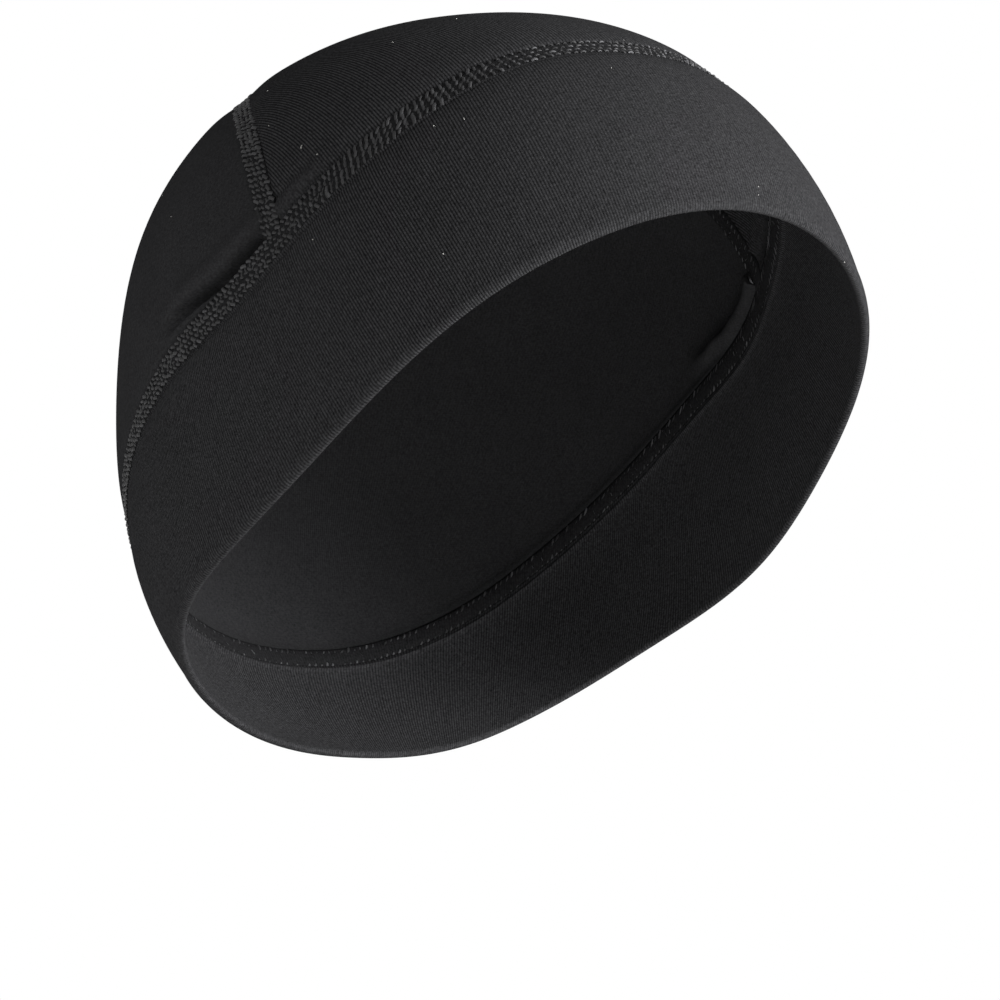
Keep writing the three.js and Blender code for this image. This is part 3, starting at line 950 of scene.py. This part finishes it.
def build_lint(sizes, material):
    random = np.random.default_rng(7)
    places = list(SPECKS)
    for _ in range(MORE_LINT):
        places.append((random.uniform(-180, 180), random.uniform(24, 82), random.uniform(0.2, 0.4)))
    points, faces = [], []
    for azimuth, polar, length in places:
        way = direction(np.array(azimuth * RAD), np.array(polar * RAD))[None]
        on = settle(way, np.array([-LINT_LIFT]), "lint", sizes)[0]
        out = head_normal(way)[0]
        turn = random.uniform(0, math.pi)
        side = unit(np.cross(out, [0.3, 0.2, 0.9]))
        along = side * math.cos(turn) + np.cross(out, side) * math.sin(turn)
        across = np.cross(out, along)
        first = len(points)
        for k in range(4):
            t = k / 3 - 0.5
            middle = on + (along + across * LINT_BOW * t) * length * t + out * LINT_ARCH * (1 - 4 * t * t)
            for corner in range(4):
                angle = corner * math.pi / 2
                rim = across * math.cos(angle) + out * math.sin(angle)
                points.append(middle + rim * LINT_THICKNESS)
        for k in range(12):
            a = first + k
            b = a + 1 if k % 4 < 3 else a - 3
            faces.append((a, b, b + 4, a + 4))
        faces.append((first + 3, first + 2, first + 1, first))
        faces.append((first + 12, first + 13, first + 14, first + 15))
    piece = make_mesh("lint", np.array(points), np.array(faces))
    finish(piece, material, None)


# Materials


def new_material(name):
    material = bpy.data.materials.new(name)
    material.use_nodes = True
    tree = material.node_tree
    tree.nodes.clear()
    return material, tree


# Wander of the wales in spacings, the sharpness of their furrows and their mean after that, what
# a course and the fuzz add to the tone and the height, and how far the tone drifts
WANDER, SHARPNESS, MEAN_RIB = 0.18, 1.4, 0.56
COURSE_TONE, COURSE_HEIGHT, FUZZ_HEIGHT = 0.08, 0.12, 0.35
TONE_DRIFT = 0.24


def knit_material(name, looks, colour, depth, furrow_shade, grain):
    """Fine rib jersey of black polyester and elastane.

    The ribs are rounded wales with a narrow furrow between, so the light runs along them, and the
    furrows are darkened in the colour as painted shade. The yarn is dull, with a faint haze of fibre
    that lifts the grey where the cloth turns away.
    """
    material, tree = new_material(name)
    uv = add(tree, "ShaderNodeUVMap", uv_map="knit")
    place = add(tree, "ShaderNodeTexCoord").outputs["Object"]
    split = add(tree, "ShaderNodeSeparateXYZ", {0: uv}).outputs
    # Wales wander by a tenth of their spacing over a centimetre
    wander = add(tree, "ShaderNodeTexNoise", {"Vector": place, "Scale": 90.0, "Detail": 2.0})
    bend = {0: wander, 1: WANDER * looks.rib_pitch, 2: split[0]}
    bent = add(tree, MATH, bend, operation="MULTIPLY_ADD")
    phase = add(tree, MATH, {0: bent, 1: math.pi / looks.rib_pitch}, operation="MULTIPLY")
    wave = add(tree, MATH, {0: phase}, operation="SINE")
    rib = add(tree, MATH, {0: wave}, operation="ABSOLUTE")
    # Courses: the rows of loops across the wales, half a millimetre apart
    row = add(tree, MATH, {0: split[1], 1: 2 * math.pi / looks.course_pitch}, operation="MULTIPLY")
    loops = add(tree, MATH, {0: row}, operation="SINE")
    course = add(tree, MATH, {0: loops, 1: 0.5, 2: 0.5}, operation="MULTIPLY_ADD")
    # Loose fibre of half a millimetre, and cloudy dye of a centimetre and a half
    fuzz = {"Vector": place, "Scale": 1800.0, "Detail": 3.0, "Roughness": 0.6}
    fuzz = add(tree, "ShaderNodeTexNoise", fuzz)
    cloud = add(tree, "ShaderNodeTexNoise", {"Vector": place, "Scale": 70.0, "Detail": 3.0})
    # Painted shade: each wale is darkened in its furrow, to about half the tone of the cloth, where the
    # furrow lies in shade
    relief = add(tree, "ShaderNodeAttribute", attribute_name="relief").outputs["Fac"]
    sharp = add(tree, MATH, {0: rib, 1: SHARPNESS}, operation="POWER")
    painted_rib_shade = add(tree, MATH, {0: sharp, 1: furrow_shade, 2: -MEAN_RIB * furrow_shade}, operation="MULTIPLY_ADD")
    ribbed = add(tree, MATH, {0: painted_rib_shade, 1: relief, 2: 1.0}, operation="MULTIPLY_ADD")
    ribbed = add(tree, MATH, {0: course, 1: COURSE_TONE, 2: ribbed}, operation="MULTIPLY_ADD")
    speckle = add(tree, MATH, {0: fuzz, 1: grain, 2: 0.98 - 0.5 * grain}, operation="MULTIPLY_ADD")
    cloudy = {0: cloud, 1: TONE_DRIFT, 2: 1 - TONE_DRIFT / 2}
    cloudy = add(tree, MATH, cloudy, operation="MULTIPLY_ADD")
    tone = add(tree, MATH, {0: ribbed, 1: speckle}, operation="MULTIPLY")
    tone = add(tree, MATH, {0: tone, 1: cloudy}, operation="MULTIPLY")
    tint = add(tree, "ShaderNodeVectorMath", {0: colour[:3], "Scale": tone}, operation="SCALE")
    height = add(tree, MATH, {0: rib, 1: relief}, operation="MULTIPLY")
    height = add(tree, MATH, {0: course, 1: COURSE_HEIGHT, 2: height}, operation="MULTIPLY_ADD")
    height = add(tree, MATH, {0: fuzz, 1: FUZZ_HEIGHT, 2: height}, operation="MULTIPLY_ADD")
    bump = add(tree, "ShaderNodeBump", {"Height": height, "Strength": depth, "Distance": 0.08 * MM})
    surface = {
        "Base Color": tint,
        "Normal": bump,
        "Roughness": 0.88,
        "IOR": 1.5,
        "Specular IOR Level": 0.0,
        "Sheen Weight": looks.sheen,
        "Sheen Roughness": 0.5,
    }
    shader = add(tree, "ShaderNodeBsdfPrincipled", surface)
    add(tree, "ShaderNodeOutputMaterial", {0: shader})
    return material


def thread_material(name, colour, bright):
    """Textured polyester thread: dyed black, soft, slightly lustrous, uneven from loop to loop, with
    painted highlight and shade.
    """
    material, tree = new_material(name)
    place = add(tree, "ShaderNodeTexCoord").outputs["Object"]
    tone = add(tree, "ShaderNodeAttribute", attribute_name="tone").outputs["Fac"]
    # Twisted ends of a quarter of a millimetre
    ply = add(tree, "ShaderNodeTexNoise", {"Vector": place, "Scale": 4200.0, "Detail": 2.0})
    # The tone picks between the dull and the palest thread, so the palest colour is also the painted
    # highlight
    pick = add(tree, MATH, {0: tone, 1: 2.0}, operation="POWER")
    dyes = {"Factor": pick, 6: (*colour, 1.0), 7: (*bright, 1.0)}
    dyed = add(tree, "ShaderNodeMix", dyes, data_type="RGBA").outputs[2]
    shade = add(tree, MATH, {0: ply, 1: 0.8, 2: 0.6}, operation="MULTIPLY_ADD")
    tint = add(tree, "ShaderNodeVectorMath", {0: dyed, "Scale": shade}, operation="SCALE")
    bump = add(tree, "ShaderNodeBump", {"Height": ply, "Strength": 0.5, "Distance": 0.05 * MM})
    surface = {
        "Base Color": tint,
        "Normal": bump,
        "Roughness": 0.55,
        "IOR": 1.55,
        "Specular IOR Level": 0.25,
    }
    shader = add(tree, "ShaderNodeBsdfPrincipled", surface)
    add(tree, "ShaderNodeOutputMaterial", {0: shader})
    return material


def lint_material(name, colour):
    """Stray cotton fibre: pale, dull and a little mottled."""
    material, tree = new_material(name)
    place = add(tree, "ShaderNodeTexCoord").outputs["Object"]
    cloud = add(tree, "ShaderNodeTexNoise", {"Vector": place, "Scale": 3.0, "Detail": 4.0})
    shade = add(tree, MATH, {0: cloud, 1: 0.3, 2: 0.85}, operation="MULTIPLY_ADD")
    tint = add(tree, "ShaderNodeVectorMath", {0: colour, "Scale": shade}, operation="SCALE")
    surface = {"Base Color": tint, "Roughness": 0.9, "Specular IOR Level": 0.3}
    shader = add(tree, "ShaderNodeBsdfPrincipled", surface)
    add(tree, "ShaderNodeOutputMaterial", {0: shader})
    return material


def light_table(glow):
    """Opal acrylic sheet lit from below, as under small goods in a studio: white, matt and even."""
    material, tree = new_material("opal_acrylic_light_table")
    surface = {
        "Base Color": (*linear("#eeeeec"), 1.0),
        "Roughness": 0.6,
        "Specular IOR Level": 0.2,
        "Emission Color": (1.0, 1.0, 1.0, 1.0),
        "Emission Strength": glow,
    }
    shader = add(tree, "ShaderNodeBsdfPrincipled", surface)
    add(tree, "ShaderNodeOutputMaterial", {0: shader})
    return material


# The knits: share of the cloth's colour, how deep the ribs look, the painted shade in their furrows
# and how uneven the yarn is. Cut edges are darker, as they lie in the shade of the stitches
KNITS = {
    "rib_jersey_band": (1.0, 0.8, 1.4, 2.4),
    "rib_jersey_crown_front": (1.0, 0.8, 1.3, 2.4),
    "rib_jersey_crown_back": (1.0, 0.2, 0.1, 1.5),
    "butted_cloth_edges": (0.65, 0.3, 0.3, 2.0),
}


def cap_material(kind):
    looks = bpy.context.scene.liner_looks
    if kind == "polyester_seam_thread":
        return thread_material(kind, tuple(looks.thread), tuple(looks.thread_pale_and_highlight))
    if kind == "cotton_lint":
        return lint_material(kind, tuple(looks.lint))
    share, *values = KNITS[kind]
    return knit_material(kind, looks, tuple(share * v for v in looks.cloth), *values)


# Settings


def number(name, description, default, **kind):
    return FloatProperty(name=name, description=description, default=default, **kind)


def length(name, description, millimetres):
    return number(name, description, millimetres * MM, unit="LENGTH")


def colour(name, description, code):
    return FloatVectorProperty(name=name, description=description, default=linear(code), subtype="COLOR")


class LINER_PG_sizes(bpy.types.PropertyGroup):
    """Sizes of the folds and stitches that lie on the cap's form."""

    seam_valley: length("Seam valley", "How far the cloth dips beside the stitches", 0.55)
    furrow_depth: length("Furrow depth", "Depth of the furrow behind the side of the band seam", 6.0)
    hem_roll: length("Hem roll", "How far the folded edge swells", 0.15)
    stitch_pitch: length("Stitch pitch", "Length of one stitch of the flat seam", 1.68)
    thread_radius: length("Thread radius", "Radius of the sewing thread", 0.23)
    thread_rise: length("Thread rise", "Height of a stitch over its ends", 0.45)


class LINER_PG_looks(bpy.types.PropertyGroup):
    """Colours of the cloth and thread, and the spacing of the knit."""

    rib_pitch: length("Rib pitch", "Spacing of the wales", 0.7)
    course_pitch: length("Course pitch", "Spacing of the rows of loops", 0.5)
    sheen: number("Sheen", "Haze of loose fibre on the cloth", 0.003, subtype="FACTOR")
    cloth: colour("Cloth", "Colour of the knit", "#252526")
    thread: colour("Thread", "Colour of the dullest thread", "#202021")
    # The palest thread colour is also the painted highlight on the stitches over the forehead
    thread_pale_and_highlight: colour("Bright thread", "Colour of the palest thread", "#4a4a4c")
    lint: colour("Lint", "Colour of the stray fibres", "#c9c8c4")


class LINER_PG_studio(bpy.types.PropertyGroup):
    """Floor, surround and lights."""

    floor_height: length("Floor height", "Height of the floor", -340.0)
    floor_glow: number("Floor glow", "Light from under the floor", 0.55, subtype="FACTOR")
    surround: number("Surround", "Light that the pale surround gives", 0.66, subtype="FACTOR")
    key: number("Key light", "Power of the large lamp", 66.0, unit="POWER")
    side: number("Side light", "Power of the lamp at the side", 3.5, unit="POWER")


# Operators

# The lamps' distance from the head and their size, in metres, and how far the surround's light
# falls off upward
LAMP_DISTANCE, LAMP_SIZE = 1.5, 0.9
SURROUND_FALL = 0.42


def seen_from(azimuth, elevation):
    """Way from the head to a camera or a lamp."""
    flat = math.cos(elevation)
    return Vector((math.sin(azimuth) * flat, -math.cos(azimuth) * flat, math.sin(elevation)))


class LINER_OT_camera(bpy.types.Operator):
    """Sets the camera at the photograph's angle."""

    bl_idname = "liner.camera"
    bl_label = "Camera"

    def execute(self, context):
        azimuth, elevation, roll = -35.52 * RAD, -8.57 * RAD, -2.18 * RAD
        pixels_per_mm, distance = 4.495, 1200.0
        offset_x, offset_y = 0.10, 27.07
        back = seen_from(azimuth, elevation)
        right = Vector((math.cos(azimuth), math.sin(azimuth), 0))
        up = back.cross(right)
        across = right * math.cos(roll) + up * math.sin(roll)
        above = up * math.cos(roll) - right * math.sin(roll)
        spot = Vector(HEAD_CENTRE) + back * distance - across * offset_x - above * offset_y
        data = bpy.data.cameras.new("photo_camera")
        data.sensor_width = 36.0
        data.lens = 36.0 * pixels_per_mm * distance / 1000
        data.clip_start, data.clip_end = 0.05, 50.0
        camera = link_new("photo_camera", data)
        pose = Matrix((across, above, back)).transposed().to_4x4()
        pose.translation = spot * MM
        camera.matrix_world = pose
        context.scene.camera = camera
        return {"FINISHED"}


class LINER_OT_band(bpy.types.Operator):
    """Makes the doubled band with its folded lower edge."""

    bl_idname = "liner.band"
    bl_label = "Band"

    def execute(self, context):
        build_band(context.scene.liner_sizes, cap_material("rib_jersey_band"))
        return {"FINISHED"}


class LINER_OT_crown(bpy.types.Operator):
    """Makes the front and back panels of the crown."""

    bl_idname = "liner.crown"
    bl_label = "Crown"

    def execute(self, context):
        sizes = context.scene.liner_sizes
        top = np.array([0.0, 0.0, 1.0])
        behind = direction(np.array(math.pi), np.array(76 * RAD))
        front_knit = cap_material("rib_jersey_crown_front")
        back_knit = cap_material("rib_jersey_crown_back")
        build_crown("crown_front_cloth", "crown_front", top, 1, crown_front_wales, sizes, front_knit)
        build_crown("crown_back_cloth", "crown_back", behind, -1, crown_back_wales, sizes, back_knit)
        return {"FINISHED"}


class LINER_OT_seams(bpy.types.Operator):
    """Makes both flat seams: the butted cloth edges and the rows of thread over them."""

    bl_idname = "liner.seams"
    bl_label = "Seams"

    def execute(self, context):
        sizes = context.scene.liner_sizes
        edges = cap_material("butted_cloth_edges")
        thread = cap_material("polyester_seam_thread")
        build_strip("band_seam_cloth", "band_seam", seam_ring(sizes), True, edges)
        build_strip("crown_seam_cloth", "crown_seam", arch_strip(sizes), False, edges)
        for name, reader, closed, seed in (
            ("band_seam", rows_along_band, True, 11),
            ("crown_seam", rows_along_arch, False, 23),
        ):
            outside, inside = THREAD_SINK - SEAM_PROUD, SEAM_WALL - SEAM_PROUD - LOOPER_SINK
            group = stitch_places(*reader(sizes, outside), closed, False, seed)
            build_stitches(name + "_thread", name, group, sizes, thread, 6, 4, seed)
            group = stitch_places(*reader(sizes, inside), closed, True, seed + 5)
            build_stitches(name + "_looper", name, group, sizes, thread, 5, 3, seed + 1)
        return {"FINISHED"}


class LINER_OT_lint(bpy.types.Operator):
    """Scatters a few stray fibres over the cloth."""

    bl_idname = "liner.lint"
    bl_label = "Lint"

    def execute(self, context):
        build_lint(context.scene.liner_sizes, cap_material("cotton_lint"))
        return {"FINISHED"}


class LINER_OT_cloth_facts(bpy.types.Operator):
    """A step that does nothing: no panel is declared here."""

    bl_idname = "liner.cloth_facts"
    bl_label = "Cloth facts"

    def execute(self, context):
        return {"FINISHED"}


class LINER_OT_stage(bpy.types.Operator):
    """Makes the pale floor, the surround and the soft lights."""

    bl_idname = "liner.stage"
    bl_label = "Stage"

    def execute(self, context):
        studio = context.scene.liner_studio
        reach = 6.0
        mesh = bpy.data.meshes.new("floor")
        corners = [(-reach, -reach), (reach, -reach), (reach, reach), (-reach, reach)]
        mesh.from_pydata([(x, y, studio.floor_height) for x, y in corners], [], [(0, 1, 2, 3)])
        floor = link_new("floor", mesh)
        mesh.materials.append(light_table(studio.floor_glow))
        world = bpy.data.worlds.new("surround")
        world.use_nodes = True
        context.scene.world = world
        tree = world.node_tree
        tree.nodes.clear()
        # The backdrop is white to look at and gives the room a softer light than that
        seen = add(tree, "ShaderNodeLightPath").outputs["Is Camera Ray"]
        way = add(tree, "ShaderNodeTexCoord").outputs["Generated"]
        height = add(tree, "ShaderNodeSeparateXYZ", {0: way}).outputs["Z"]
        fall = {0: height, 1: -SURROUND_FALL * studio.surround, 2: studio.surround}
        given = add(tree, MATH, fall, operation="MULTIPLY_ADD")
        lift = add(tree, MATH, {0: given, 1: seen}, operation="MAXIMUM")
        backdrop = add(tree, "ShaderNodeBackground", {"Color": (1.0, 1.0, 1.0, 1.0), "Strength": lift})
        add(tree, "ShaderNodeOutputWorld", {0: backdrop.outputs[0]})
        context.scene.view_settings.view_transform = "Standard"
        self.lamp("key_light", 31.7 * RAD, 9.0 * RAD, studio.key)
        self.lamp("side_light", -83.3 * RAD, -6.1 * RAD, studio.side)
        return {"FINISHED"}

    def lamp(self, name, azimuth, elevation, power):
        """A square lamp turned to the head."""
        way = seen_from(azimuth, elevation)
        data = bpy.data.lights.new(name, "AREA")
        data.energy, data.size = power, LAMP_SIZE
        lamp = link_new(name, data)
        lamp.location = Vector(HEAD_CENTRE * MM) + way * LAMP_DISTANCE
        lamp.rotation_euler = way.to_track_quat("Z", "Y").to_euler()


class LINER_PT_cap(bpy.types.Panel):
    """Lists the cap's settings and its steps in the order they are run."""

    bl_idname = "LINER_PT_cap"
    bl_label = "Liner cap"
    bl_space_type = "VIEW_3D"
    bl_region_type = "UI"
    bl_category = "Liner cap"

    def draw(self, context):
        for group in (context.scene.liner_sizes, context.scene.liner_looks, context.scene.liner_studio):
            box = self.layout.box()
            for name in group.__annotations__:
                box.prop(group, name)
        for step in STEPS:
            self.layout.operator(step.bl_idname)


GROUPS = (LINER_PG_sizes, LINER_PG_looks, LINER_PG_studio)
STEPS = (
    LINER_OT_camera,
    LINER_OT_band,
    LINER_OT_crown,
    LINER_OT_seams,
    LINER_OT_lint,
    LINER_OT_cloth_facts,
    LINER_OT_stage,
)


def register():
    for item in (*GROUPS, *STEPS, LINER_PT_cap):
        bpy.utils.register_class(item)
    bpy.types.Scene.liner_sizes = PointerProperty(type=LINER_PG_sizes)
    bpy.types.Scene.liner_looks = PointerProperty(type=LINER_PG_looks)
    bpy.types.Scene.liner_studio = PointerProperty(type=LINER_PG_studio)


def unregister():
    for name in ("liner_sizes", "liner_looks", "liner_studio"):
        delattr(bpy.types.Scene, name)
    for item in (LINER_PT_cap, *reversed(STEPS), *reversed(GROUPS)):
        bpy.utils.unregister_class(item)


def main():
    register()
    bpy.ops.liner.camera()
    bpy.ops.liner.band()
    bpy.ops.liner.crown()
    bpy.ops.liner.seams()
    bpy.ops.liner.lint()
    bpy.ops.liner.cloth_facts()
    bpy.ops.liner.stage()


if __name__ == "__main__":
    main()
